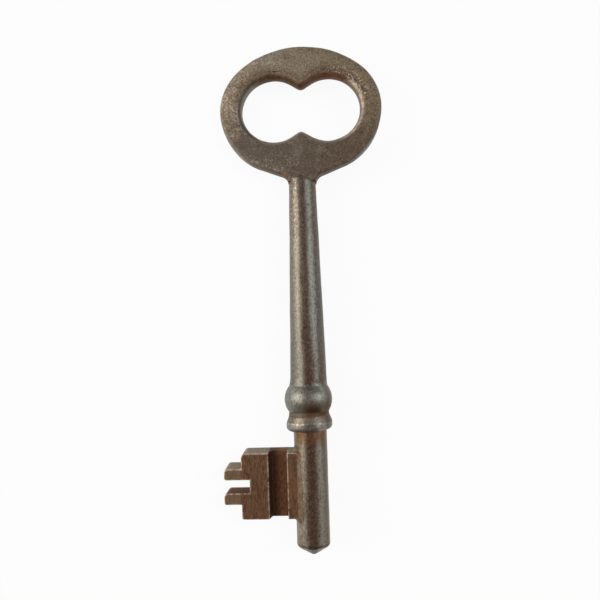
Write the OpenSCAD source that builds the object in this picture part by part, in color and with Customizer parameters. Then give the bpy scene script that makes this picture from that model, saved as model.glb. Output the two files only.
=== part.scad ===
// Skeleton key, lying flat, in millimetres.
// X runs across the key and the bit points along -X.
// Y runs along the stem towards the bow, and Z points up from the face of the bow.
// The origin is on the stem's axis, in the plane of the ring collar's underside.

/* [Stem] */
// Diameter of the pin's parallel end, which turns in the lock
pin_d = 8; // [7:0.1:9]
// How much thicker the pin is at the collars than at its parallel end
pin_taper = 0.1; // [0:0.05:0.3]
// Length of the pin below the ring collar, down to the bevel at its nose
pin_len = 27.2; // [24:0.1:34]
// Height of the bevel round the nose
nose_bevel_h = 0.4; // [0.2:0.1:0.8]
// Width of the bevel round the nose, across the radius
nose_bevel_w = 0.3; // [0.1:0.1:0.8]
// Height of the nose cone
nose_cone_h = 2.1; // [1:0.1:4]
// Diameter of the blunt point of the nose
nose_tip_d = 0.8; // [0.4:0.1:2]
// Width of the shoulder at the foot of the shank, on which the ball collar seats
shoulder_w = 0.45; // [0.3:0.05:0.6]
// Diameter of the shank at the bow
shank_top_d = 6.7; // [6:0.1:8]
// Length of the tapered shank, from its shoulder to the bow's seat
shank_len = 49.7; // [40:0.1:70]
// How far the stem's two cheeks reach up over the faces of the bow
cheek_len = 1.2; // [1:0.1:4]

/* [Collars] */
// Outer diameter of the ring collar
ring_d = 11.2; // [10.8:0.1:13]
// Radius of the rounding under the ring collar
ring_round_r = 1.1; // [0.5:0.1:1.2]
// Height of the ring collar's straight band
ring_band_h = 0.85; // [0.5:0.05:3]
// Height of the bevel between the band and the groove
ring_bevel_h = 2.05; // [0.5:0.05:3]
// Diameter of both collars where they meet at the groove
groove_d = 9.6; // [9.4:0.1:10.4]
// Diameter of the ball collar
ball_d = 11.6; // [11:0.1:13]
// Radius to which the ball collar's side is rounded
ball_round_r = 5.2; // [4.8:0.1:5.6]

/* [Bow] */
// Width of the bow
bow_w = 40.4; // [38:0.2:46]
// Thickness of the bow
bow_t = 4; // [3.8:0.1:5]
// Height of the crown above the bow's widest line
crown_h = 16; // [15.5:0.1:17.4]
// Radius of the two upper shoulders
shoulder_r = 13.6; // [12:0.1:15]
// Radius of the two lower sides
side_r = 15.8; // [15:0.1:18]
// Slope of the flanks that run in to the neck, in degrees
flank_slope = 25; // [20:0.5:32]
// Radius of the fillet between each flank and the stem
neck_fillet_r = 1.8; // [1:0.1:3]
// Width of the bevel round the bow's outer edge
outer_bevel = 0.5; // [0.2:0.1:1]

/* [Opening] */
// Radius of each lobe of the opening
lobe_r = 8.2; // [6:0.05:8.6]
// Distance between the centres of the two lobes
lobe_spacing = 13.6; // [12:0.1:15]
// How far the lobes' centres lie below the bow's widest line
lobe_drop = 0.05; // [0:0.05:2]
// Slope of the straight edges that run from the lobes to the two cusps, in degrees
cusp_slope = 32; // [20:0.5:36]
// Width of the bevel round the opening
inner_bevel = 1.2; // [0.3:0.1:1.5]

/* [Tang] */
// Diameter of the tang that the bow has inside the stem
tang_d = 3.6; // [2.5:0.1:3.7]
// Length of the tang below the bow's seat
tang_len = 9; // [5:0.5:16]

/* [Bit] */
// Thickness of the bit
bit_t = 6; // [4:0.1:6.4]
// Gap on the pin between the ring collar and the bit
bit_gap = 5; // [3:0.1:6]
// Reach of the bit's body from the stem's axis
body_reach = 16.8; // [15.6:0.1:19]
// Reach of the two teeth from the stem's axis
tooth_reach = 21; // [19.5:0.1:25]
// Height of the body above the upper tooth
top_step_h = 3.7; // [2:0.1:5]
// Height of the upper tooth
upper_tooth_h = 2.6; // [2:0.1:4]
// Height of the slot between the teeth
slot_h = 3.1; // [2:0.1:4]
// Height of the lower tooth
lower_tooth_h = 2.7; // [2:0.1:4]
// Height of the body below the lower tooth
bottom_step_h = 3.5; // [2:0.1:5]
// Distance from the stem's axis to the floor of the slot
slot_floor = 14.8; // [11.5:0.1:15.2]
// Radius of the body's upper outer corner
body_corner_r = 1.2; // [0.5:0.1:1.8]
// Radius of each tooth's upper outer corner
tooth_corner_r = 0.8; // [0.3:0.1:1.5]

/* [Ward groove] */
// Distance from the stem's axis to the near wall of the groove in the bit's front
ward_near = 5.7; // [5.6:0.1:6.5]
// Width of the groove
ward_w = 4.5; // [2:0.1:5]
// Depth of the groove
ward_depth = 2.5; // [1:0.1:3]
// How far the groove's outer wall leans in from its mouth to its floor
ward_lean = 0.6; // [0:0.1:1]

/* [Tenon] */
// Thickness of the tenon that holds the bit in the pin
tenon_t = 3; // [2:0.1:4]
// Depth of the tenon in the pin
tenon_depth = 2.5; // [1.5:0.1:3]

/* [Brazing] */
// Clearance between the faces that are brazed together
braze_gap = 0.05; // [0.02:0.01:0.1]
// Width of the bit's braze fillets
bit_fillet = 1; // [0.5:0.1:1.4]
// Height of the braze at the ends of the stem's cheeks
neck_fillet_h = 0.9; // [0.5:0.1:3]
// Height of the braze ring between the two collars
collar_braze_h = 0.4; // [0.2:0.05:1]
// How far that ring lies back from the collars' surface
collar_braze_inset = 0.15; // [0.05:0.05:0.3]

/* [Hidden] */
$fn = 96;

// Overhang of a cut past the surface that it opens
over = 1;

// Radii
pin_r = pin_d / 2;
seat_r = pin_r + pin_taper / 2;
collar_bore_r = seat_r + braze_gap;
shank_low_r = seat_r + shoulder_w;
shank_top_r = shank_top_d / 2;
ring_r = ring_d / 2;
groove_r = groove_d / 2;
ball_r = ball_d / 2;
ball_round_x = ball_r - ball_round_r;

// Stations along the stem, from the nose to the bow
nose_bevel_y = -pin_len - nose_bevel_h;
tip_y = nose_bevel_y - nose_cone_h;
bit_top_y = -bit_gap;
upper_tooth_y = bit_top_y - top_step_h;
slot_y = upper_tooth_y - upper_tooth_h;
lower_tooth_y = slot_y - slot_h;
lower_step_y = lower_tooth_y - lower_tooth_h;
bit_low_y = lower_step_y - bottom_step_h;
bit_h = bit_top_y - bit_low_y;
parallel_top_y = bit_low_y - bit_fillet;
ring_h = ring_round_r + ring_band_h + ring_bevel_h;
ball_low_y = ring_h + collar_braze_h;
ball_y = ball_low_y + sqrt(pow(ball_round_r, 2) - pow(groove_r - ball_round_x, 2));
shoulder_y = ball_y + sqrt(pow(ball_round_r, 2) - pow(shank_low_r - ball_round_x, 2));
seat_y = shoulder_y + shank_len;
cheek_y = seat_y + cheek_len;

// The outline of the bow, made of arcs and two straight flanks
half_w = bow_w / 2;
shoulder_x = half_w - shoulder_r;
side_x = half_w - side_r;
crown_drop = (pow(shoulder_x, 2) - pow(crown_h - shoulder_r, 2)) / (2 * (crown_h - shoulder_r));
crown_r = crown_h + crown_drop;
shoulder_sweep = atan2(crown_drop, shoulder_x);
fillet_x = shank_top_r + neck_fillet_r;
apex_y = seat_y + neck_fillet_r / cos(flank_slope) - fillet_x * tan(flank_slope);
bow_y = apex_y + side_r / cos(flank_slope) + side_x * tan(flank_slope);
fillet_end = [fillet_x - neck_fillet_r * sin(flank_slope), neck_fillet_r * cos(flank_slope)];

// The opening in the bow
lobe_x = lobe_spacing / 2;
lobe_y = bow_y - lobe_drop;

// Half the angle that a bead across the bit's end takes round the pin
bead_sweep = asin(bit_t / 2 / (seat_r + bit_fillet));

steel = [0.42, 0.40, 0.37];
dark_steel = [0.33, 0.27, 0.23];
braze = [0.50, 0.34, 0.20];

// A turned piece: a profile of radius and height, revolved about the stem's axis
module turned(sweep = 360, start = 0) {
    rotate([-90, 0, 0])
        rotate([0, 0, start])
            rotate_extrude(angle = sweep)
                children();
}

// The same shape on both sides of the key's centre plane
module both_sides() {
    children();
    mirror([1, 0, 0])
        children();
}

// The waste outside a rounded corner, with the rounding's centre at the origin
module corner_waste(r) {
    difference() {
        square(r + over);
        circle(r);
    }
}

// Points on an arc about a centre, with or without its first one
function arc_points(centre, r, from, to, steps, first = 0) = [
    for (i = [first : steps])
        let (a = from + (to - from) * i / steps)
            [centre.x + r * cos(a), centre.y + r * sin(a)]
];

// The right half of the bow's outline, inset by a distance, from its apex below round to its crown
function half_outline(inset) = concat(
    [[0, -(side_r - inset) / cos(flank_slope) - side_x * tan(flank_slope)]],
    arc_points([side_x, 0], side_r - inset, flank_slope - 90, 0, 18),
    arc_points([shoulder_x, 0], shoulder_r - inset, 0, shoulder_sweep, 14, 1),
    arc_points([0, -crown_drop], crown_r - inset, shoulder_sweep, 90, 11, 1)
);

// Where the opening's straight edges, let out by a distance, cross the line over past the centre
function cusp_point(reach) = [
    -over,
    reach / cos(cusp_slope) - (lobe_x + over) * tan(cusp_slope)
];

// The right half of the opening, let out by a distance, from its upper cusp round its lobe
function half_opening(reach) = concat(
    [cusp_point(reach)],
    arc_points([lobe_x, 0], reach, 90 + cusp_slope, -90 - cusp_slope, 66),
    [[cusp_point(reach).x, -cusp_point(reach).y]]
);

// A slab with the bow's outline, inset by a distance
module bow_slab(inset, thickness) {
    translate([0, 0, -thickness / 2])
        linear_extrude(thickness)
            both_sides()
                polygon(half_outline(inset));
}

// The plate of the bow before it is opened, about the middle of its widest line,
// with a bevel along both faces
module bow_plate() {
    hull() {
        bow_slab(0, bow_t - 2 * outer_bevel);
        bow_slab(outer_bevel, bow_t);
    }
}

// The neck: the plate runs down to the stem between two concave fillets
module neck_web() {
    translate([0, seat_y, -bow_t / 2])
        linear_extrude(bow_t)
            both_sides()
                difference() {
                    polygon([[0, 0], [fillet_x, 0], fillet_end, [0, fillet_end.y]]);
                    translate([fillet_x, 0])
                        circle(neck_fillet_r);
                }
}

// The opening, about its own middle: two round lobes, joined by straight edges that meet
// at a cusp above and below, with a bevel that widens it towards both faces
module opening_cut() {
    both_sides() {
        translate([0, 0, -bow_t])
            linear_extrude(2 * bow_t)
                polygon(half_opening(lobe_r));
        for (face = [0, 1])
            mirror([0, 0, face])
                hull() {
                    translate([0, 0, bow_t / 2 - inner_bevel])
                        linear_extrude(0.01)
                            polygon(half_opening(lobe_r));
                    translate([0, 0, bow_t / 2 + over])
                        linear_extrude(over)
                            polygon(half_opening(lobe_r + inner_bevel + over));
                }
    }
}

// The bow: a flat forged ring with a round tang below its seat
module bow() {
    color(steel) {
        difference() {
            union() {
                translate([0, bow_y, 0])
                    bow_plate();
                neck_web();
            }
            translate([0, lobe_y, 0])
                opening_cut();
            translate([-half_w, seat_y - side_r, -bow_t])
                cube([bow_w, side_r, 2 * bow_t]);
        }
        translate([0, seat_y + over, 0])
            rotate([90, 0, 0])
                cylinder(d = tang_d, h = tang_len + over);
    }
}

// The stem: one turned bar with a pin, a shoulder and a tapered shank.
// The pin is parallel below the bit's braze and thickens slightly from there to the collars.
// The stem's end is slotted for the bow and bored for the tang, and its pin is slotted for the bit.
module stem() {
    color(steel)
        difference() {
            turned()
                polygon([
                    [0, tip_y],
                    [nose_tip_d / 2, tip_y],
                    [pin_r - nose_bevel_w, nose_bevel_y],
                    [pin_r, -pin_len],
                    [pin_r, parallel_top_y],
                    [seat_r, 0],
                    [seat_r, shoulder_y],
                    [shank_low_r, shoulder_y],
                    [shank_top_r, seat_y],
                    [shank_top_r, cheek_y],
                    [0, cheek_y]
                ]);
            translate([-shank_low_r, seat_y, -bow_t / 2 - braze_gap])
                cube([2 * shank_low_r, cheek_len + over, bow_t + 2 * braze_gap]);
            translate([0, seat_y + over, 0])
                rotate([90, 0, 0])
                    cylinder(d = tang_d + 2 * braze_gap, h = tang_len + braze_gap + over);
            translate([-seat_r - over, bit_low_y - braze_gap, -tenon_t / 2 - braze_gap])
                cube([tenon_depth + braze_gap + over, bit_h + 2 * braze_gap, tenon_t + 2 * braze_gap]);
        }
}

// The ball collar: a bored bead, a little flatter than a ball, that seats on the shank's shoulder
module ball_collar() {
    color(steel)
        turned()
            intersection() {
                translate([ball_round_x, ball_y])
                    circle(ball_round_r);
                translate([collar_bore_r, ball_low_y])
                    square([ball_r, shoulder_y - ball_low_y]);
            }
}

// The ring collar: a bored ring whose flat underside is the key's stop
module ring_collar() {
    color(steel)
        turned()
            difference() {
                polygon([
                    [collar_bore_r, 0],
                    [ring_r, 0],
                    [ring_r, ring_round_r + ring_band_h],
                    [groove_r, ring_h],
                    [collar_bore_r, ring_h]
                ]);
                translate([ring_r - ring_round_r, ring_round_r])
                    mirror([0, 1])
                        corner_waste(ring_round_r);
            }
}

// The outline of the bit: a body with two teeth and a slot between them
module bit_outline() {
    difference() {
        union() {
            translate([-body_reach, bit_low_y])
                square([body_reach, bit_h]);
            translate([-tooth_reach, lower_step_y])
                square([tooth_reach, upper_tooth_y - lower_step_y]);
        }
        translate([-tooth_reach - over, lower_tooth_y])
            square([tooth_reach - slot_floor + over, slot_h]);
        translate([-body_reach + body_corner_r, bit_top_y - body_corner_r])
            mirror([1, 0])
                corner_waste(body_corner_r);
        for (y = [upper_tooth_y, lower_tooth_y])
            translate([-tooth_reach + tooth_corner_r, y - tooth_corner_r])
                intersection() {
                    mirror([1, 0])
                        corner_waste(tooth_corner_r);
                    translate([-tooth_corner_r - over, 0])
                        square([tooth_corner_r + over, tooth_corner_r]);
                }
    }
}

// The bit: a filed plate with a groove down its front and a tenon in the pin
module bit() {
    color(dark_steel) {
        difference() {
            translate([0, 0, -bit_t / 2])
                linear_extrude(bit_t)
                    bit_outline();
            translate([0, bit_top_y + over, 0])
                rotate([90, 0, 0])
                    cylinder(r = collar_bore_r, h = bit_h + 2 * over);
            translate([0, bit_top_y + over, 0])
                rotate([90, 0, 0])
                    linear_extrude(bit_h + 2 * over)
                        polygon([
                            [-ward_near, bit_t / 2 + over],
                            [-ward_near, bit_t / 2 - ward_depth],
                            [-ward_near - ward_w + ward_lean, bit_t / 2 - ward_depth],
                            [-ward_near - ward_w, bit_t / 2],
                            [-ward_near - ward_w, bit_t / 2 + over]
                        ]);
            translate([-seat_r, bit_low_y - over, -bit_t])
                cube([2 * seat_r, bit_h + 2 * over, 2 * bit_t]);
        }
        translate([-seat_r - over, bit_low_y, -tenon_t / 2])
            cube([tenon_depth + over, bit_h, tenon_t]);
    }
}

// Braze at the ends of the stem's cheeks, sloping down to both faces of the bow
module bow_braze() {
    color(braze)
        difference() {
            turned()
                polygon([
                    [0, cheek_y],
                    [shank_top_r, cheek_y],
                    [bow_t / 2, cheek_y + neck_fillet_h],
                    [0, cheek_y + neck_fillet_h]
                ]);
            translate([-shank_top_d, cheek_y - over, -bow_t / 2])
                cube([2 * shank_top_d, neck_fillet_h + 2 * over, bow_t]);
        }
}

// One fillet of braze along the bit's root, from its face to the pin
module root_fillet() {
    foot_x = sqrt(pow(seat_r, 2) - pow(bit_t / 2, 2));
    rise_x = foot_x - bit_fillet;
    translate([0, bit_top_y, 0])
        rotate([90, 0, 0])
            linear_extrude(bit_h)
                difference() {
                    polygon([
                        [-foot_x - bit_fillet, bit_t / 2],
                        [-rise_x, bit_t / 2],
                        [-rise_x, sqrt(pow(seat_r, 2) - pow(rise_x, 2))]
                    ]);
                    circle(seat_r);
                }
}

// One bead of braze round the pin, across an end of the bit
module end_bead() {
    turned(2 * bead_sweep, 180 - bead_sweep)
        polygon([[seat_r, 0], [seat_r + bit_fillet, 0], [seat_r, bit_fillet]]);
}

// Braze round the bit's root: a fillet on each face and a bead at each end
module bit_braze() {
    color(braze) {
        root_fillet();
        mirror([0, 0, 1])
            root_fillet();
        translate([0, bit_top_y, 0])
            end_bead();
        translate([0, bit_low_y, 0])
            mirror([0, 1, 0])
                end_bead();
    }
}

// The ring of braze between the two collars, at the bottom of their groove
module collar_braze() {
    color(braze)
        turned()
            translate([collar_bore_r, ring_h])
                square([groove_r - collar_braze_inset - collar_bore_r, collar_braze_h]);
}

bow();
stem();
ball_collar();
ring_collar();
bit();
bow_braze();
bit_braze();
collar_braze();
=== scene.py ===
from math import atan2, cos, degrees, radians, sin, sqrt

import bmesh
import bpy
from mathutils import Matrix, Vector, kdtree, noise


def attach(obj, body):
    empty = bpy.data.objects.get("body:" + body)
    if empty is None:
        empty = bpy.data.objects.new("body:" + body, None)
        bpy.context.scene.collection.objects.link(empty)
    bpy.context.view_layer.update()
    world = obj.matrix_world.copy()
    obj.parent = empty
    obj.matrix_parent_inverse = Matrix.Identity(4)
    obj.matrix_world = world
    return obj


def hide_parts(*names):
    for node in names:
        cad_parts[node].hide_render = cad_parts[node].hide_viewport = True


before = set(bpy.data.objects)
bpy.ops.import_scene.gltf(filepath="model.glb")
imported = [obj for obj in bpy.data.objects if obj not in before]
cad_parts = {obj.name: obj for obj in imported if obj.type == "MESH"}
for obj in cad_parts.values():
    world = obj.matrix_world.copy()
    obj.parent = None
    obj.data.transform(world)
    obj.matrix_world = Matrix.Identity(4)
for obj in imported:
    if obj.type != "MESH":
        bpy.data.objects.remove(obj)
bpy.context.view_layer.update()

# Bow: a flat ring of malleable iron with a two-lobed eye, 4 mm thick, whose web runs down into the slotted
# end of the stem. It is cast and dressed, so its face keeps a fine sand grain and its edges are rubbed round.
# It sits a little askew on the stem, as the real one does.
mm = 0.001
weld = 0.001
bow_t = 4.0
crown_y, crown_r = 71.83, 23.98
widest_y = 79.71
shoulder_x = 6.6
side_x, side_r = 4.4, 15.9
flank_slope = 25.0
seat_y = 60.605
neck_x, neck_r = 6.05, 2.6
lobe_x, lobe_y, lobe_r = 6.8, 79.65, 8.1
cusp_slope, cusp_r, cusp_zone = 32.0, 1.5, 8.0
rim_shift, rim_turn, rim_round = 0.02, -0.35, 0.95
eye_shift, eye_turn, eye_round = -0.12, -1.0, 1.6
dish, dish_reach = 0.16, 3.6
fall, fall_reach = 0.12, 3.0


class Wire:
    """One output of a node, in a finish. Python's operators on it add Math nodes."""

    def __init__(self, finish, socket):
        self.finish, self.socket = finish, socket

    def maths(self, operation, *values, clamp=False):
        return self.finish.node("Math", {"operation": operation, "use_clamp": clamp}, dict(enumerate(values)))

    def __add__(self, other):
        return self.maths("ADD", self, other)

    def __sub__(self, other):
        return self.maths("SUBTRACT", self, other)

    def __rsub__(self, other):
        return self.maths("SUBTRACT", other, self)

    def __mul__(self, other):
        return self.maths("MULTIPLY", self, other)

    def __abs__(self):
        return self.maths("ABSOLUTE", self)

    __radd__, __rmul__ = __add__, __mul__

    def held(self):
        """The value kept between 0 and 1."""
        return self.maths("ADD", self, 0.0, clamp=True)

    def either(self, other):
        return self.maths("MAXIMUM", self, other)

    def between(self, low, high):
        """0 at low and 1 at high, with a smooth run between them. Low may be the larger."""
        steps = {"interpolation_type": "SMOOTHSTEP"}
        if low < high:
            return self.finish.node("MapRange", steps, {"Value": self, "From Min": low, "From Max": high})
        return 1 - self.finish.node("MapRange", steps, {"Value": self, "From Min": high, "From Max": low})


class Finish:
    """A procedural material, measured in millimetres from the key's own origin."""

    def __init__(self, name):
        self.material = bpy.data.materials.new(name)
        self.material.use_nodes = True
        self.tree = self.material.node_tree
        self.tree.nodes.clear()
        place = self.node("TexCoord", {}, {}, "Object")
        self.place = self.node("VectorMath", {"operation": "SCALE"}, {0: place, "Scale": 1000.0}, "Vector")
        self.x, self.y, self.z = (self.node("SeparateXYZ", {}, {0: self.place}, axis) for axis in "XYZ")
        self.colour = None

    def node(self, kind, settings, values, out=0):
        """Adds a node with its settings and inputs, and gives the output asked for."""
        made = self.tree.nodes.new("ShaderNode" + kind)
        for name, value in settings.items():
            setattr(made, name, value)
        for name, value in values.items():
            if isinstance(value, Wire):
                self.tree.links.new(value.socket, made.inputs[name])
            else:
                made.inputs[name].default_value = value
        return Wire(self, made.outputs[out]) if made.outputs else None

    def scaled(self, scale, shift):
        """The place on the key, scaled and then shifted by the same amount along each axis."""
        values = {"Vector": self.place, "Location": (shift, shift, shift), "Scale": scale}
        return self.node("Mapping", {}, values, "Vector")

    def grain(self, size, stretch=(1, 1, 1), shift=0.0, detail=3.0, rough=0.55):
        """Noise from 0 to 1, with features of that size in millimetres, longer where stretch is over 1."""
        values = {"Vector": self.scaled(tuple(1 / (size * s) for s in stretch), shift), "Scale": 1.0}
        return self.node("TexNoise", {}, {**values, "Detail": detail, "Roughness": rough}, 0)

    def pits(self, size, shift=0.0):
        """Distance from scattered points, as a share of their spacing."""
        values = {"Vector": self.scaled((1 / size,) * 3, shift), "Scale": 1.0}
        return self.node("TexVoronoi", {}, values, "Distance")

    def mix(self, share, one, other):
        """The colour `one` where share is 0 and `other` where it is 1."""
        one, other = (colour if isinstance(colour, Wire) else (*colour, 1) for colour in (one, other))
        factor, a, b, result = 0, 6, 7, 2
        return self.node("Mix", {"data_type": "RGBA"}, {factor: share, a: one, b: other}, result)

    def paint(self, share, colour):
        """Lays a colour over what the finish has so far, fully where share is 1."""
        self.colour = self.mix(share, self.colour, colour)

    def attribute(self, name):
        """A value written on the mesh as it is made."""
        return self.node("Attribute", {"attribute_name": name}, {}, "Fac")

    def close(self, roughness, metallic, height, depth, specular=0.4):
        """Ends the material. Height is a relief from 0 to 1, and depth its size in millimetres."""
        bump = self.node("Bump", {}, {"Strength": 1.0, "Distance": depth * mm, "Height": height}, "Normal")
        values = {"Base Color": self.colour, "Roughness": roughness, "Metallic": metallic, "Normal": bump,
                  "Specular IOR Level": specular}
        shader = self.node("BsdfPrincipled", {}, values, "BSDF")
        self.node("OutputMaterial", {}, {"Surface": shader})
        return self.material


def walk(bm, start, moves):
    """Draws edges in the XY plane. A move is (dx, dy, steps), or (centre, degrees, steps) for an arc."""
    line = [bm.verts.new((*start, 0))]
    for first, second, steps in moves:
        for _ in range(steps):
            line += bmesh.ops.extrude_vert_indiv(bm, verts=line[-1:])["verts"]
            if isinstance(first, tuple):
                turn = Matrix.Rotation(radians(second / steps), 3, "Z")
                bmesh.ops.rotate(bm, verts=line[-1:], cent=(*first, 0), matrix=turn)
            else:
                bmesh.ops.translate(bm, verts=line[-1:], vec=(first / steps, second / steps, 0))
    return line


def pull(bm, faces, way):
    """Extrudes faces together and moves their new end by a vector."""
    made = bmesh.ops.extrude_face_region(bm, geom=faces)
    bmesh.ops.translate(bm, verts=[g for g in made["geom"] if isinstance(g, bmesh.types.BMVert)], vec=way)


def round_off(bm, geom, size, segments, affect="EDGES"):
    """Rounds off edges, or the corners of a line."""
    bmesh.ops.bevel(bm, geom=geom, offset=size, offset_type="OFFSET", affect=affect, segments=segments,
                    profile=0.5, material=-1)


def unsettle(bm, size, depth, seed):
    """Moves every vertex along its normal by a little smooth noise, as in a surface dressed by hand."""
    bm.normal_update()
    offset = Vector((seed, seed, seed))
    moves = [v.normal * (depth * noise.noise(v.co / size + offset)) for v in bm.verts]
    for v, move in zip(bm.verts, moves):
        v.co += move


def mark_wear(bm):
    """Writes on each vertex how sharply its edges bend outwards, from 0 for no wear to 1 for full wear."""
    bm.normal_update()
    if bm.verts.layers.float.get("wear"):
        return
    layer = bm.verts.layers.float.new("wear")
    least, run = 0.12, 0.35
    for v in bm.verts:
        turns = [e.calc_face_angle_signed(0) for e in v.link_edges if e.is_manifold]
        v[layer] = min(1, max(0, (max(turns, default=0) - least) / run))


def set_down(bm, name, material, slot, *nodes):
    """Makes the finished piece: in metres, facing outwards, riding on the key and replacing its CAD nodes."""
    bmesh.ops.remove_doubles(bm, verts=bm.verts, dist=weld / 2)
    bmesh.ops.recalc_face_normals(bm, faces=bm.faces)
    mark_wear(bm)
    bmesh.ops.scale(bm, verts=bm.verts, vec=(mm, mm, mm))
    for f in bm.faces:
        f.smooth = True
    mesh = bpy.data.meshes.new(name)
    bm.to_mesh(mesh)
    bm.free()
    piece = bpy.data.objects.new(name, mesh)
    bpy.context.scene.collection.objects.link(piece)
    mesh.materials.append(material)
    piece.modifiers.new("even_shading", "WEIGHTED_NORMAL").keep_sharp = True
    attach(piece, "root")
    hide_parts(*nodes)


def bow_iron():
    f = Finish("bow_iron")
    broad = f.grain(6, shift=3.1, detail=2)
    mottle = f.grain(2.6, shift=11.0, detail=6, rough=0.75)
    speckle = f.grain(0.5, shift=5.0, detail=4, rough=0.75)
    # painted light: the face is lighter towards the top and the left, where the lamps' light falls, darker
    # low and right
    high = (f.y + 8 * (broad - 0.5)).between(68, 86)
    left = (f.x + 7 * (mottle - 0.5)).between(16, -8)
    upper = f.mix(left, (0.204, 0.148, 0.091), (0.246, 0.204, 0.151))
    lower = f.mix(left, (0.098, 0.065, 0.041), (0.102, 0.081, 0.065))
    f.colour = f.mix(high, lower, upper)
    f.paint(mottle.between(0.48, 0.66) * 0.3, (0.312, 0.250, 0.179))
    f.paint(mottle.between(0.5, 0.34) * 0.45, (0.094, 0.061, 0.037))
    # bright flecks in clusters, most of them on the upper left, where they are partly a painted highlight
    flecks = f.grain(0.55, shift=21.0, detail=3).between(0.47, 0.62)
    flecks = flecks * f.grain(4.5, shift=8.0).between(0.36, 0.6)
    high_flecks = flecks * f.x.between(4, -14) * f.y.between(70, 76)
    f.paint(high_flecks.held() * 0.9, (0.515, 0.390, 0.281))
    low_flecks = flecks * f.y.between(70, 66) * f.x.between(0, -4)
    f.paint(low_flecks.held() * 0.5, (0.390, 0.296, 0.218))
    rusty = f.grain(3.4, shift=41.0, detail=5, rough=0.7).between(0.50, 0.66)
    f.paint(rusty * 0.4, (0.129, 0.076, 0.043))
    # dark red-brown in both corners above the stem's end: rust, and painted shade in the crease
    corner = (f.y + 1.5 * (mottle - 0.5)).between(65, 62) * abs(f.x - 0.2).between(2.2, 3.6)
    f.paint(corner * 0.8, (0.102, 0.048, 0.022))
    # darker towards the eye under the crown, and paler along its lower edge
    near = f.attribute("near_eye")
    above = f.y.between(79, 84)
    shade = f.mix(f.x.between(0, 10), (0.108, 0.060, 0.029), (0.070, 0.036, 0.018))
    f.paint(near.between(0.0, 0.72) * above * (0.8 + 0.15 * f.x.between(2, 7)), shade)
    f.paint(near.between(0.5, 0.95) * f.y.between(78, 74) * 0.5, (0.211, 0.176, 0.136))
    f.paint(speckle.between(0.5, 0.38) * 0.5, (0.055, 0.035, 0.022))
    f.paint(speckle.between(0.51, 0.62) * (0.2 + 0.2 * high), (0.359, 0.289, 0.211))
    # painted highlight: pale flecks along the right limb's inner bevel, where the left lamp glints
    glint_flecks = flecks * near.between(0.0, 0.4) * f.x.between(6, 11) * f.y.between(75, 79)
    f.paint(glint_flecks.held() * 0.85, (0.546, 0.452, 0.345))
    # the eye's walls are rusty under the crown. On the bit's side they have painted shade near the face
    # and a painted reflection further in; opposite they have a painted highlight, dulled in patches
    depth = f.attribute("eye")
    under = (f.x + 4 * (broad - 0.5)).between(-2, 6)
    under = f.mix(under, (0.078, 0.034, 0.012), (0.108, 0.039, 0.012))
    under = f.mix(f.y.between(82, 76), under, (0.234, 0.172, 0.121))
    bit_wall_shade_and_reflection = f.mix(depth.between(0.3, 0.5), (0.062, 0.052, 0.043), (0.209, 0.181, 0.140))
    far_wall_highlight = f.mix(depth.between(0.25, 0.55), (0.546, 0.452, 0.367), (0.187, 0.129, 0.086))
    dull = f.grain(1.3, shift=33.0).between(0.62, 0.42)
    far_wall_highlight = f.mix(dull * 0.5, far_wall_highlight, (0.125, 0.074, 0.047))
    inside = f.mix(f.x.between(-9.5, -12.5), under, bit_wall_shade_and_reflection)
    inside = f.mix(f.x.between(9.5, 11.5) * f.y.between(87, 85), inside, far_wall_highlight)
    f.paint(depth.between(0.08, 0.24), inside)
    # the outer edge has a painted pale grey highlight, most on the left and low, but stays brown at the neck
    rim = f.attribute("rim").between(0.12, 0.38) * (0.5 + 0.4 * left + 0.3 * f.y.between(78, 70))
    rim_highlight = f.mix(f.y.between(68.5, 65.5), (0.289, 0.261, 0.230), (0.120, 0.078, 0.048))
    f.paint(rim.held() * 0.85, rim_highlight)
    wear = (f.attribute("wear") * f.grain(1.2, shift=2.0).between(0.3, 0.6)).held()
    f.paint(wear * 0.3, (0.359, 0.296, 0.234))
    rough = 0.48 - 0.1 * wear + 0.1 * mottle - 0.1 * depth.between(0.03, 0.10)
    height = speckle * 0.45 + mottle * 0.55
    return f.close(rough, metallic=0.6, height=height, depth=0.42, specular=0.3)


def tree_of(verts):
    """Finds the nearest of these vertices, as seen from above."""
    tree = kdtree.KDTree(len(verts))
    for index, v in enumerate(verts):
        tree.insert((v.co.x, v.co.y, 0), index)
    tree.balance()
    return tree


def around_eye(point, margin):
    """Whether a point is in the eye, or outside its lobes by less than the margin."""
    from_lobe = Vector((abs(point.x), point.y)) - Vector((lobe_x, lobe_y))
    return from_lobe.length < lobe_r + margin or (abs(point.x) < lobe_x and abs(point.y - lobe_y) < cusp_zone)


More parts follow.
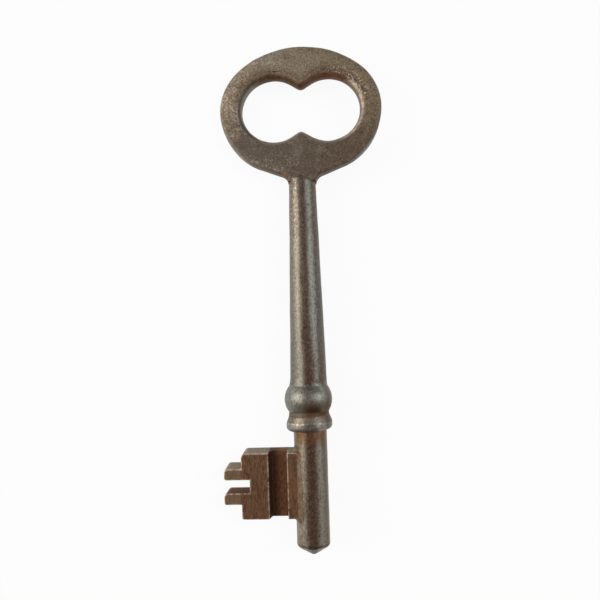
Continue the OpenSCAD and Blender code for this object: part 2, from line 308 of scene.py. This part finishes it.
def make_bow():
    bm = bmesh.new()
    # the outer edge's right half: crown, shoulder, side, straight flank, and the fillet into the neck
    shoulder_sweep = degrees(atan2(widest_y - crown_y, shoulder_x))
    flank_sin, flank_cos = sin(radians(flank_slope)), cos(radians(flank_slope))
    side_end = Vector((side_x + side_r * flank_sin, widest_y - side_r * flank_cos))
    neck_end = Vector((neck_x - neck_r * flank_sin, seat_y + neck_r * flank_cos))
    flank = neck_end - side_end
    outer = walk(bm, (0, crown_y + crown_r), [
        ((0, crown_y), shoulder_sweep - 90, 20),
        ((shoulder_x, widest_y), -shoulder_sweep, 24),
        ((side_x, widest_y), flank_slope - 90, 26),
        (flank.x, flank.y, 10),
        ((neck_x, seat_y), 90 - flank_slope, 8),
        (neck_r - neck_x, 0.0, 4),
    ])
    # the eye's right half: half a cusp, a straight edge, a lobe and the same again
    cusp_sin, cusp_cos = sin(radians(cusp_slope)), cos(radians(cusp_slope))
    tip_centre_y = lobe_y + (lobe_r + cusp_r - lobe_x * cusp_sin) / cusp_cos
    tip = Vector((0, tip_centre_y - cusp_r))
    tip_end = Vector((cusp_r * cusp_sin, tip_centre_y - cusp_r * cusp_cos))
    lobe_start = Vector((lobe_x - lobe_r * cusp_sin, lobe_y + lobe_r * cusp_cos))
    run = lobe_start - tip_end
    tip_steps, run_steps = 4, 8
    lobe_steps = len(outer) - 1 - 2 * (tip_steps + run_steps)
    inner = walk(bm, tip, [
        ((0, tip_centre_y), cusp_slope, tip_steps),
        (run.x, run.y, run_steps),
        ((lobe_x, lobe_y), -180 - 2 * cusp_slope, lobe_steps),
        (-run.x, run.y, run_steps),
        ((0, 2 * lobe_y - tip_centre_y), cusp_slope, tip_steps),
    ])
    outer[-1].co.x = inner[-1].co.x = 0
    bmesh.ops.bridge_loops(bm, edges=bm.edges[:])
    bmesh.ops.mirror(bm, geom=bm.verts[:] + bm.edges[:] + bm.faces[:], axis="X", merge_dist=weld)
    bmesh.ops.remove_doubles(bm, verts=bm.verts, dist=weld)
    bmesh.ops.recalc_face_normals(bm, faces=bm.faces)
    # eye and rim are each a little askew in their own way
    eye = [v for v in bm.verts if around_eye(v.co, margin=0.01)]
    rim = [v for v in bm.verts if v not in set(eye)]
    for part, shift, turn in ((eye, eye_shift, eye_turn), (rim, rim_shift, rim_turn)):
        bmesh.ops.rotate(bm, verts=part, cent=(0, seat_y, 0), matrix=Matrix.Rotation(radians(turn), 3, "Z"))
        bmesh.ops.translate(bm, verts=part, vec=(shift, 0, 0))
    eye_tree, rim_tree = tree_of(eye), tree_of(rim)
    bmesh.ops.translate(bm, verts=bm.verts, vec=(0, 0, -bow_t / 2))
    pull(bm, bm.faces[:], (0, 0, bow_t))
    bmesh.ops.recalc_face_normals(bm, faces=bm.faces)
    bm.normal_update()

    def ridges():
        return [e for e in bm.edges if e.is_manifold and e.calc_face_angle(0) > 1]

    eye_ridges = [e for e in ridges() if around_eye((e.verts[0].co + e.verts[1].co) / 2, margin=1.2)]
    round_off(bm, eye_ridges, size=eye_round, segments=6)
    round_off(bm, ridges(), size=rim_round, segments=5)
    flat = [e for e in bm.edges if all(abs(abs(v.co.z) - bow_t / 2) < 0.01 for v in e.verts)]
    across = [e for e in flat if e.calc_length() > 2.2]
    bmesh.ops.subdivide_edges(bm, edges=across, cuts=7, use_grid_fill=True)
    mark_wear(bm)
    # the face is dished a little towards the eye, and falls off towards the rim everywhere but at the neck
    floats = bm.verts.layers.float
    eye_layer, rim_layer, near_layer = (floats.new(name) for name in ("eye", "rim", "near_eye"))
    for v in bm.verts:
        to_eye, to_rim = (tree.find((v.co.x, v.co.y, 0))[2] for tree in (eye_tree, rim_tree))
        near_eye, near_rim = max(0, 1 - to_eye / dish_reach), max(0, 1 - to_rim / fall_reach)
        off_neck = min(1, max(0, (v.co.y - seat_y - 1) / 5))
        v.co.z *= 1 - dish * near_eye ** 2 - fall * off_neck * near_rim ** 2
        depth = (bow_t / 2 - abs(v.co.z)) / (bow_t / 2)
        v[eye_layer], v[rim_layer] = (depth, 0) if to_eye < to_rim else (0, depth)
        v[near_layer] = near_eye
    unsettle(bm, size=6.0, depth=0.10, seed=4.0)
    unsettle(bm, size=1.7, depth=0.035, seed=9.0)
    set_down(bm, "bow_casting", bow_iron(), "bow_iron", "bow")


make_bow()

# Stem: one turned steel bar, with a tapered shank above the collars, and below them a pin that carries the
# bit and ends in a blunt coned nose. It is worn satin, with stains down its length and rust by its joints.
pin_r, pin_top_r, shank_low_r, shank_top_r = 4.0, 4.05, 4.5, 3.35
shoulder_y, shoulder_h = 10.905, 0.6
cheek_y, cheek_lean = 61.8, 0.2
bit_low_y, parallel_y, pin_low_y = -20.6, -21.6, -27.2
nose_bevel_r, nose_bevel_y = 3.72, -27.6
nose_tip_r, nose_tip_y = 0.4, -29.7


def stem_steel():
    f = Finish("stem_steel")
    turn = f.node("Math", {"operation": "ARCTAN2"}, {0: f.x, 1: f.z}) * degrees(1)
    streak = f.grain(1.0, (1, 9, 1), shift=2.0, detail=4)
    fine = f.grain(0.36, (1, 1.7, 1), shift=7.0, detail=3, rough=0.7)
    broad = f.grain(5, (0.7, 2, 0.7), shift=4.4, detail=2)
    warm = f.mix(f.y.between(16, 34), (0.146, 0.133, 0.109), (0.182, 0.164, 0.135))
    grey = f.mix(turn.between(-10, 25), warm, (0.144, 0.139, 0.121))
    pin = f.y.between(1, -2)
    # painted highlight: the pin is painted lighter on its right, where the right lamp shines
    pin_grey_and_highlight = f.mix(turn.between(5, 45), (0.222, 0.180, 0.137), (0.359, 0.324, 0.261))
    grey = f.mix(pin, grey, pin_grey_and_highlight)
    collars = f.y.between(-0.3, 0.1) * f.y.between(11.6, 10.4)
    ball = f.mix(turn.between(-15, 20), (0.208, 0.202, 0.175), (0.225, 0.218, 0.188))
    # painted highlight: a pale band down the ball's right, where the right lamp shines
    ball = f.mix(turn.between(28, 40) * turn.between(58, 46), ball, (0.304, 0.292, 0.250))
    bevel = f.mix(abs(turn - 5).between(25, 65), (0.262, 0.208, 0.154), (0.146, 0.113, 0.083))
    bevel = f.mix(f.y.between(3.0, 3.8) * 0.65, bevel, (0.125, 0.092, 0.064))
    # painted highlights: the ring's band is painted pale on its left and its right, where the lamps shine,
    # darker between
    band = f.mix(turn.between(-40, -5), (0.257, 0.238, 0.207), (0.156, 0.139, 0.113))
    band = f.mix(turn.between(15, 28), band, (0.320, 0.304, 0.273))
    ring = f.mix(f.y.between(1.9, 2.2), band, bevel)
    grey = f.mix(collars, grey, f.mix(f.y.between(3.9, 4.3), ring, ball))
    # a brown band down the front, broken by streaks, and lesser ones down both edges: partly stain, partly
    # painted shade
    low = f.y.between(26, 17) * f.y.between(3, 5)
    broken = 20 * (streak - 0.5)
    middle = (abs(turn + 2 - 6 * pin - 7 * low + broken) * (1 - 0.14 * pin)).between(27, 5)
    edge = abs(turn - 62 + broken).between(26, 6) * (0.28 + 0.3 * pin.either(collars))
    edge = edge + turn.between(-62, -74) * 0.35
    scattered = (broad * 0.5 + streak * 0.5).between(0.55, 0.7)
    stain_and_shade = ((middle * (1 - 0.5 * collars)).either(edge) * 0.85 + scattered * 0.4).held()
    brown = f.mix(f.y.between(30, 46), (0.059, 0.034, 0.022), (0.066, 0.041, 0.028))
    f.colour = f.mix(stain_and_shade, grey, brown)
    # redder low on the shank and along the pin
    red = f.y.between(26, 13).either(f.y.between(3, -1)) * (1 - collars) * stain_and_shade * broad.between(0.3, 0.55)
    f.paint(red * 0.8, (0.072, 0.031, 0.018))
    # browner beside the bit's lower half and at both sides of the upper shank
    patch = turn.between(-46, -34) * turn.between(10, -4) * f.y.between(-12.5, -16) * f.y.between(-22, -19.5)
    f.paint(patch * 0.5, (0.066, 0.036, 0.022))
    upper_right = f.y.between(34, 46) * turn.between(32, 52) * (0.4 + 0.6 * streak.between(0.4, 0.6))
    f.paint(upper_right * 0.5, (0.156, 0.092, 0.060))
    upper_left = f.y.between(44, 54) * turn.between(-12, -32)
    f.paint(upper_left * 0.45, (0.098, 0.064, 0.042))
    # bright flecks, most of them on the left of the upper shank and of the pin, partly painted glints there
    flecks = f.grain(0.45, (1, 1.5, 1), shift=31.0, detail=4, rough=0.7).between(0.46, 0.66)
    patches = f.y.between(38, 54) * turn.between(-10, -30) * 0.9 + 0.12 + pin * turn.between(-12, -35) * 0.65
    f.paint((flecks * patches).held() * 0.85, (0.452, 0.382, 0.296))
    calm = 1 - 0.45 * stain_and_shade
    f.paint(fine.between(0.5, 0.38) * calm * 0.5, (0.039, 0.028, 0.021))
    f.paint(fine.between(0.51, 0.62) * calm * 0.25, (0.328, 0.289, 0.234))
    # rust under the ring, round the bit's root and at the neck
    under_ring = (f.y + 4 * (broad - 0.5) + 3 * (streak - 0.5)).between(-4.2, -0.6) * f.y.between(0.6, 0.1)
    root = f.y.between(-3.6, -5.2) * f.y.between(-22, -20) * turn.between(-48, -62)
    neck = f.y.between(58.5, 61.5) * abs(turn).between(30, 60)
    patchy = f.grain(1.3, (1, 1.3, 1), shift=13.0, detail=4)
    rust = under_ring.either(root * 0.7).either(neck * 0.8) * patchy.between(0.36, 0.52)
    rusty = f.mix(turn.between(-36, -4), (0.152, 0.076, 0.029), (0.137, 0.052, 0.023))
    rusty = f.mix(turn.between(20, 45), rusty, (0.228, 0.110, 0.046))
    f.paint(rust.held() * 0.9, rusty)
    # dirt and rust over the ball's foot, most at its middle and right
    low_ball = (f.y + 2.4 * (broad - 0.5) + 2 * (streak - 0.5)).between(8.4, 5.2)
    dirt = f.y.between(3.2, 4.3) * low_ball * (0.1 + 0.9 * turn.between(-30, 6))
    dirt = dirt * (1 - 0.3 * turn.between(20, 45))
    f.paint(dirt * 0.92, (0.082, 0.035, 0.013))
    # red spots at the right of the collars and just above them, and a painted highlight on the ring's top
    # edge at left
    red_spots = f.grain(0.9, shift=51.0, detail=3).between(0.42, 0.6)
    side = turn.between(26, 44) * turn.between(74, 60) * f.y.between(2.2, 4.2) * f.y.between(8.6, 7.0)
    above = turn.between(26, 46) * f.y.between(10.9, 11.6) * f.y.between(24, 12)
    f.paint((side.either(above) * red_spots).held() * 0.75, (0.150, 0.066, 0.030))
    line = abs(f.y - 0.036 * f.x - 1.98).between(0.24, 0.06) * turn.between(8, -12) * red_spots
    f.paint(line * 0.5, (0.60, 0.55, 0.47))
    # painted shade on the nose's cone, most at its sides, a darker line above it and a painted highlight at
    # its left
    nose = f.y.between(-27.3, -27.8)
    flank = abs(turn).between(22, 45)
    f.paint(nose * (0.6 + 0.35 * flank), f.mix(flank, (0.070, 0.062, 0.050), (0.050, 0.044, 0.036)))
    f.paint(f.y.between(-26.4, -27.0) * f.y.between(-27.3, -27.1) * 0.6, (0.039, 0.028, 0.020))
    nose_glint = abs(f.y + 27.42).between(0.34, 0.12) * turn.between(-45, -15) * red_spots
    f.paint(nose_glint * 0.6, (0.55, 0.50, 0.43))
    wear = (f.attribute("wear") * f.grain(1.0, shift=2.0).between(0.25, 0.6)).held()
    f.paint(wear * 0.6, (0.281, 0.250, 0.211))
    rough = 0.33 + 0.12 * stain_and_shade + 0.12 * fine + 0.15 * dirt
    pits = f.pits(1.7, shift=4.0).between(0.16, 0.05)
    f.paint(pits * 0.7, (0.035, 0.023, 0.016))
    height = fine * 0.4 + streak * 0.25 + f.grain(2.0, shift=1.0) * 0.35 - pits * 0.3
    return f.close(rough, metallic=0.8 + 0.18 * dirt, height=height, depth=0.16, specular=0.3)


def revolve(bm):
    """Turns a profile once about the stem's axis."""
    bmesh.ops.spin(bm, geom=bm.verts[:] + bm.edges[:], cent=(0, 0, 0), axis=(0, 1, 0), angle=radians(360),
                   steps=128, use_merge=True)
    bmesh.ops.remove_doubles(bm, verts=bm.verts, dist=weld)


def turned(points, soften=()):
    """A piece turned from a profile of (radius, height). Soften lists the corners to round: (index, size)."""
    bm = bmesh.new()
    line = walk(bm, points[0], [(b[0] - a[0], b[1] - a[1], 1) for a, b in zip(points, points[1:])])
    for index, size in soften:
        round_off(bm, [line[index]], size, segments=5, affect="VERTICES")
    for e in [e for e in bm.edges if e.calc_length() > 2]:
        bmesh.ops.subdivide_edges(bm, edges=[e], cuts=int(e.calc_length()))
    revolve(bm)
    bmesh.ops.recalc_face_normals(bm, faces=bm.faces)
    return bm


def dress_turning(bm):
    """Takes a turned surface a little off true, as filing and wear do."""
    unsettle(bm, size=5.0, depth=0.06, seed=2.0)
    unsettle(bm, size=1.6, depth=0.02, seed=6.0)


def make_stem():
    nose = [(0, nose_tip_y), (nose_tip_r, nose_tip_y), (nose_bevel_r, nose_bevel_y), (pin_r, pin_low_y)]
    pin = [(pin_r, parallel_y), (pin_top_r, 0), (pin_top_r, shoulder_y - shoulder_h)]
    shank = [(shank_low_r, shoulder_y), (shank_top_r, seat_y), (shank_top_r, cheek_y), (0, cheek_y)]
    bm = turned(nose + pin + shank, soften=[(9, 0.35), (3, 0.2), (2, 0.15), (1, 0.25)])
    # the stem's end isn't square
    for v in bm.verts:
        v.co.y -= cheek_lean * v.co.x * min(1, max(0, v.co.y - seat_y))
    dress_turning(bm)
    set_down(bm, "stem_turning", steel, "stem_steel", "stem")


steel = stem_steel()
make_stem()

# Ball collar: a turned steel bead, bored for the pin and brazed against the shank's shoulder. Its side is
# rounded to less than its own radius. A cove runs from its top up the shank, and a small cone from its foot
# down to the groove.
ball_x, ball_y = -0.17, 7.466
ball_r, ball_round_r = 5.82, 5.2
bore_r, groove_r, ball_low_y = 3.9, 4.8, 4.4
cove_y, cove_fade = 13.3, 3.0


def ring_of(bm, line, shift, lean=0.0):
    """Closes a profile, turns it about the stem's axis and sets it a little off that axis and leaning."""
    bm.edges.new((line[-1], line[0]))
    revolve(bm)
    for v in bm.verts:
        v.co.x += shift * min(1, max(0, (cove_y - v.co.y) / cove_fade))
        v.co.y += lean * v.co.x


def make_ball():
    bm = bmesh.new()
    middle = (ball_r - ball_round_r, ball_y)
    low, high = -30.0, 38.0
    start = (middle[0] + ball_round_r * cos(radians(low)), middle[1] + ball_round_r * sin(radians(low)))
    line = walk(bm, start, [(middle, high - low, 26)])
    cove = [(4.62, 11.0), (4.52, 11.75), (4.455, 12.6), (4.38, 13.4)]
    bore = [(bore_r, 13.0), (bore_r, ball_low_y), (groove_r, ball_low_y)]
    for point in cove + bore:
        line += bmesh.ops.extrude_vert_indiv(bm, verts=line[-1:])["verts"]
        line[-1].co = (*point, 0)
    ring_of(bm, line, ball_x)
    dress_turning(bm)
    set_down(bm, "ball_collar_turning", steel, "stem_steel", "ball_collar")


make_ball()

# Ring collar: a turned steel ring with a bevel above, a plain band and a rounded lower edge. It is brazed on
# the pin under the ball, a little askew, and its flat underside is the key's stop.
ring_x, ring_lean = -0.12, 0.036
ring_r, ring_round, ring_band, ring_h = 5.6, 1.1, 0.85, 4.0


def make_ring():
    bm = bmesh.new()
    arc_steps, band_steps = 8, 2
    line = walk(bm, (bore_r, 0), [
        (ring_r - ring_round - bore_r, 0.0, 1),
        ((ring_r - ring_round, ring_round), 90, arc_steps),
        (0.0, ring_band, band_steps),
        (groove_r - ring_r, ring_h - ring_round - ring_band, 4),
        (bore_r - groove_r, 0.0, 1),
    ])
    band_top = line[1 + arc_steps + band_steps]
    round_off(bm, [band_top], size=0.2, segments=4, affect="VERTICES")
    ends = sorted((v for v in bm.verts if len(v.link_edges) == 1), key=lambda v: v.co.y)
    ring_of(bm, ends, ring_x, ring_lean)
    unsettle(bm, size=2.5, depth=0.04, seed=15.0)
    set_down(bm, "ring_collar_turning", steel, "stem_steel", "ring_collar")


make_ring()

# Bit: a plate of steel 6 mm thick, sawn and filed to two teeth with a slot between them, and grooved down its
# front for a ward of the lock. Its root is let into the pin and brazed. It is red-brown with worn edges.
bit_t = 6.0
bit_top_y = -5.0
upper_tooth_y, slot_y, lower_tooth_y, lower_step_y = -8.7, -11.3, -14.4, -17.1
slot_floor, body_reach, tooth_reach = 14.8, 16.8, 21.0
ward_near, ward_far, ward_foot, ward_z = 5.7, 10.2, 9.6, 0.5
root_x = 3.0


def bit_steel():
    f = Finish("bit_steel")
    files = f.grain(0.24, (1, 4.5, 1), shift=3.0, detail=4, rough=0.7)
    mottle = f.grain(1.6, (1, 1.6, 1), shift=17.0)
    fine = f.grain(0.3, (1, 3, 1), shift=9.0, detail=3, rough=0.7)
    f.colour = f.mix(files.between(0.38, 0.62), (0.085, 0.037, 0.018), (0.172, 0.094, 0.053))
    f.paint(mottle.between(0.52, 0.75) * 0.45, (0.125, 0.087, 0.055))
    rusty = f.grain(3.0, (1, 1.8, 1), shift=24.0, detail=5, rough=0.7)
    f.paint(rusty.between(0.5, 0.66) * 0.42, (0.158, 0.060, 0.028))
    f.paint(rusty.between(0.46, 0.32) * 0.5, (0.066, 0.036, 0.022))
    strip = f.x.between(-5.9, -4.9) * rusty.between(0.36, 0.56)
    f.paint(strip * 0.5, (0.188, 0.082, 0.040))
    teeth = f.x.between(-body_reach + 0.3, -body_reach - 0.5)
    f.paint(teeth * 0.4, (0.234, 0.160, 0.101))
    # the top edges are paler grey; the slot and the groove have kept their dark scale, the groove with
    # painted shade too
    tooth_end = f.y.between(upper_tooth_y - 0.35, upper_tooth_y - 0.1)
    tooth_end = tooth_end * f.x.between(-body_reach + 0.1, -body_reach - 0.2)
    ends = f.y.between(bit_top_y - 0.35, bit_top_y - 0.1).either(tooth_end)
    f.paint(ends * (0.35 + 0.55 * fine.between(0.4, 0.6)), (0.328, 0.289, 0.223))
    slot = f.y.between(lower_tooth_y - 0.3, lower_tooth_y - 0.1) * f.y.between(slot_y + 0.3, slot_y + 0.1)
    slot = slot * f.x.between(-slot_floor + 0.3, -slot_floor)
    f.paint(slot * 0.9, (0.168, 0.066, 0.022))
    groove = f.x.between(-ward_far - 0.1, -ward_far + 0.1) * f.x.between(-ward_near + 0.1, -ward_near - 0.1)
    groove = groove * f.z.between(bit_t / 2 - 0.1, bit_t / 2 - 0.4)
    # the groove's floor is darkest by its left wall, painted shade as cast by that wall, and lightens to the
    # right
    scale = f.x.between(-ward_foot + 0.3, -ward_near - 0.8)
    scale = f.mix(scale, (0.105, 0.049, 0.028), (0.262, 0.122, 0.065))
    f.paint(groove, scale)
    f.paint(groove * files.between(0.56, 0.44) * 0.5, (0.045, 0.019, 0.010))
    # worn edges painted pale, partly as painted highlights where the lamps catch them
    wear = (f.attribute("wear") * f.grain(0.9, shift=2.0, detail=4).between(0.34, 0.6) * (1 - groove)).held()
    f.paint(wear * 0.9, (0.562, 0.452, 0.359))
    rough = 0.46 - 0.12 * wear + 0.1 * fine + 0.2 * slot.either(ends).either(groove)
    height = files * 0.6 + fine * 0.4
    return f.close(rough, metallic=0.55 + 0.4 * groove, height=height, depth=0.10, specular=0.15)


def make_bit():
    half_t = bit_t / 2
    section = [(-root_x, -half_t), (-root_x, half_t), (-ward_near, half_t), (-ward_near, ward_z),
               (-ward_foot, ward_z), (-ward_far, half_t), (-slot_floor, half_t), (-slot_floor, -half_t)]
    bm = bmesh.new()
    face = bm.faces.new([bm.verts.new((x, bit_low_y, z)) for x, z in section])
    pull(bm, [face], (0, bit_top_y - bit_low_y, 0))
    for y in (lower_step_y, lower_tooth_y, slot_y, upper_tooth_y):
        whole = bm.verts[:] + bm.edges[:] + bm.faces[:]
        bmesh.ops.bisect_plane(bm, geom=whole, plane_co=(0, y, 0), plane_no=(0, 1, 0))
    bmesh.ops.recalc_face_normals(bm, faces=bm.faces)

    def wall(x, low, high):
        """The faces across X at that distance from the axis, between two heights."""
        facing = [(f, f.calc_center_median()) for f in bm.faces if abs(f.normal.x) > 0.9]
        return [f for f, centre in facing if abs(centre.x + x) < 0.01 and low < centre.y < high]

    def push(x, low, high, reach):
        bm.normal_update()
        pull(bm, wall(x, low, high), (x - reach, 0, 0))
        bmesh.ops.delete(bm, geom=wall(x, low, high), context="FACES_ONLY")

    # body and teeth are drawn out from the floor of the slot
    bm.normal_update()
    push(slot_floor, bit_low_y, lower_tooth_y, body_reach)
    push(slot_floor, slot_y, bit_top_y, body_reach)
    push(body_reach, lower_step_y, lower_tooth_y, tooth_reach)
    push(body_reach, slot_y, upper_tooth_y, tooth_reach)
    bmesh.ops.remove_doubles(bm, verts=bm.verts, dist=weld)
    bmesh.ops.recalc_face_normals(bm, faces=bm.faces)

    def upright(x, y):
        """The edge along Z at that corner of the plate."""
        corner = Vector((-x, y))
        return [e for e in bm.edges if all((v.co.xy - corner).length < 0.01 for v in e.verts)]

    # the upper corners are filed round, and the lower ones less so
    round_off(bm, upright(body_reach, bit_top_y), size=1.2, segments=8)
    for y in (upper_tooth_y, lower_tooth_y):
        round_off(bm, upright(tooth_reach, y), size=0.8, segments=6)
    for x, y in ((tooth_reach, slot_y), (tooth_reach, lower_step_y), (body_reach, bit_low_y)):
        round_off(bm, upright(x, y), size=0.5, segments=5)
    bm.normal_update()
    bmesh.ops.dissolve_limit(bm, angle_limit=radians(1), verts=bm.verts, edges=bm.edges)
    sharp = [e for e in bm.edges if e.is_manifold and e.calc_face_angle(0) > 0.6]
    round_off(bm, sharp, size=0.19, segments=3)
    large = [f for f in bm.faces if f.calc_area() > 2]
    bmesh.ops.inset_individual(bm, faces=large, thickness=0.2, use_even_offset=True)
    # the ends of the body and of the upper tooth were not filed quite square: they rise towards the back
    body_rise, body_corner = 0.3, 1.3
    tooth_rise, tooth_corner = 0.5, 0.95
    for v in bm.verts:
        back = 0.5 - v.co.z / bit_t
        if v.co.y > bit_top_y - body_corner:
            v.co.y += body_rise * back
        elif abs(v.co.y - upper_tooth_y) < tooth_corner and v.co.x < -body_reach + 0.3:
            v.co.y += tooth_rise * back
    set_down(bm, "bit_plate", bit_steel(), "bit_steel", "bit")


make_bit()

# Braze: brass run into the joints. It lies in slopes where the stem's end laps the bow, in fillets and beads
# round the bit's root, and in the hollow between the collars. It has tarnished to a dull orange-brown.
groove_braze_x = -0.14


def tarnished_braze():
    f = Finish("tarnished_braze")
    mottle = f.grain(1.3, shift=6.0)
    fine = f.grain(0.4, shift=14.0, detail=3, rough=0.7)
    f.colour = f.mix(mottle.between(0.35, 0.65), (0.133, 0.082, 0.043), (0.211, 0.148, 0.086))
    hollow = (f.x + 2 * (mottle - 0.5)).between(-2.6, 0.6)
    hollow = f.mix(hollow, (0.122, 0.098, 0.072), (0.098, 0.046, 0.020))
    f.paint(f.y.between(-2, 2) * f.y.between(30, 20), hollow)
    f.paint(fine.between(0.5, 0.35) * 0.5, (0.039, 0.025, 0.016))
    return f.close(0.5 + 0.1 * fine, metallic=0.5, height=fine * 0.5 + mottle * 0.5, depth=0.08)


braze = tarnished_braze()


def make_neck_braze():
    bm = turned([(0, cheek_y - 0.8), (2.9, cheek_y - 0.8), (2.9, cheek_y - 0.3), (2.5, cheek_y + 0.2),
                 (1.9, cheek_y + 0.9), (0, cheek_y + 0.9)], soften=[(2, 0.2), (3, 0.3)])
    for v in bm.verts:
        v.co.y -= cheek_lean * v.co.x
    set_down(bm, "neck_braze", braze, "braze_metal", "bow_braze")


def make_root_braze():
    bm = bmesh.new()
    # a fillet along the root on both faces, and a bead across each end that follows the pin's round
    foot = sqrt(pin_top_r ** 2 - (bit_t / 2) ** 2)
    rise = foot - 0.6
    high = sqrt(pin_top_r ** 2 - rise ** 2)
    fillet = [(-foot - 0.6, 2.95), (-foot - 0.3, 3.03), (-foot - 0.02, 3.15), (-rise - 0.2, 3.3),
              (-rise, high), (-rise + 0.3, high - 0.2), (-rise, 2.6)]
    for side in (1, -1):
        face = bm.faces.new([bm.verts.new((x, bit_low_y - 0.3, side * z)) for x, z in fillet])
        pull(bm, [face], (0, bit_top_y - bit_low_y + 0.6, 0))
    sweep = degrees(atan2(bit_t / 2, foot))
    across, up = cos(radians(sweep)), sin(radians(sweep))
    bead = [(pin_r - 0.3, 0), (pin_top_r + 1, 0), (pin_top_r + 0.4, 0.15), (pin_top_r + 0.1, 0.45),
            (pin_top_r, 1), (pin_r - 0.3, 1)]
    for y, way in ((bit_top_y, 1), (bit_low_y, -1)):
        face = bm.faces.new([bm.verts.new((-r * across, y + way * h, -r * up)) for r, h in bead])
        bmesh.ops.spin(bm, geom=[face], cent=(0, 0, 0), axis=(0, 1, 0), angle=radians(2 * sweep), steps=16)
    set_down(bm, "root_braze", braze, "braze_metal", "bit_braze")


def make_groove_braze():
    bm = turned([(bore_r, 3.45), (4.98, 3.45), (4.93, 3.75), (4.90, 4.0), (4.885, 4.25), (4.91, 4.5),
                 (4.97, 4.7), (5.04, 4.85), (bore_r, 4.85)])
    for v in bm.verts:
        v.co.x += groove_braze_x
    set_down(bm, "groove_braze", braze, "braze_metal", "collar_braze")


make_neck_braze()
make_root_braze()
make_groove_braze()

# Stage: a plain pale floor that the key lies on, touching it with its ball collar, the rim of its bow and its
# lower tooth, and soft light from both sides.


def lay_floor():
    slope_x, slope_y, height = 0.1480, -0.0136, -5.99 * mm
    bm = bmesh.new()
    bmesh.ops.create_grid(bm, x_segments=1, y_segments=1, size=3)
    for v in bm.verts:
        v.co.z = height - slope_x * v.co.x - slope_y * v.co.y
    mesh = bpy.data.meshes.new("floor")
    bm.to_mesh(mesh)
    bm.free()
    floor = bpy.data.objects.new("floor", mesh)
    bpy.context.scene.collection.objects.link(floor)
    # seen by the camera, also in a reflection, it is nearly pure white, but it keeps the key's shadow
    f = Finish("white_board")
    white_share = 0.93
    camera = f.node("LightPath", {}, {}, "Is Camera Ray")
    glossy = f.node("LightPath", {}, {}, "Is Glossy Ray")
    through = f.node("LightPath", {}, {}, "Is Transmission Ray")
    seen = camera.either(glossy).either(through)
    board = f.node("BsdfDiffuse", {}, {"Color": (0.8, 0.8, 0.8, 1)}, "BSDF")
    glow = f.node("Emission", {}, {"Color": (1, 1, 1, 1), "Strength": 1.0}, "Emission")
    shader = f.node("MixShader", {}, {0: seen * white_share, 1: board, 2: glow}, "Shader")
    f.node("OutputMaterial", {}, {"Surface": shader})
    mesh.materials.append(f.material)


lay_floor()
scene = bpy.context.scene
scene.view_settings.view_transform = "Standard"

world = bpy.data.worlds.new("studio")
scene.world = world
world.use_nodes = True
world.node_tree.nodes["Background"].inputs["Color"].default_value = (1, 1, 1, 1)
world.node_tree.nodes["Background"].inputs["Strength"].default_value = 0.32


def soft_light(name, towards, distance, size, power, colour):
    data = bpy.data.lights.new(name, "AREA")
    data.shape, data.size, data.size_y = "RECTANGLE", size[0], size[1]
    data.energy, data.color = power, colour
    light = bpy.data.objects.new(name, data)
    scene.collection.objects.link(light)
    middle = Vector((0, 0.035, 0))
    way = Vector(towards).normalized()
    light.location = middle + way * distance
    light.rotation_mode = "QUATERNION"
    light.rotation_quaternion = way.to_track_quat("Z", "Y")


left_slope, right_slope = radians(53), radians(46)
soft_light("left_softbox", towards=(-sin(left_slope), 0.15, cos(left_slope)), distance=0.6,
           size=(0.42, 0.55), power=3.0, colour=(1.0, 0.97, 0.92))
soft_light("right_softbox", towards=(sin(right_slope), 0.15, cos(right_slope)), distance=0.6,
           size=(0.22, 0.5), power=1.5, colour=(0.92, 0.97, 1.0))


def place_camera():
    """The camera as fitted to the photograph: where the key's origin and axes lie as the camera sees them."""
    focal_px, photo_px = 577, 600
    origin_seen, slide = Vector((2.510, -32.110, -141.108)), 0.5
    lean, pitch, roll = radians(1.806), radians(3.5), radians(3.5)
    along = Vector((-sin(lean), cos(lean), 0)) * cos(pitch) - Vector((0, 0, 1)) * sin(pitch)
    across0 = Vector((cos(lean), sin(lean), 0))
    up0 = Vector((0, 0, 1)) * cos(pitch) + Vector((-sin(lean), cos(lean), 0)) * sin(pitch)
    across = across0 * cos(roll) + up0 * sin(roll)
    up = up0 * cos(roll) - across0 * sin(roll)
    key_to_camera = Matrix((across, along, up)).transposed().to_4x4()
    key_to_camera.translation = (origin_seen + slide * along) * mm
    data = bpy.data.cameras.new("camera")
    data.sensor_width, data.lens = 36.0, 36.0 * focal_px / photo_px
    data.clip_start = 0.01
    camera = bpy.data.objects.new("camera", data)
    scene.collection.objects.link(camera)
    camera.matrix_world = key_to_camera.inverted()
    scene.camera = camera


place_camera()
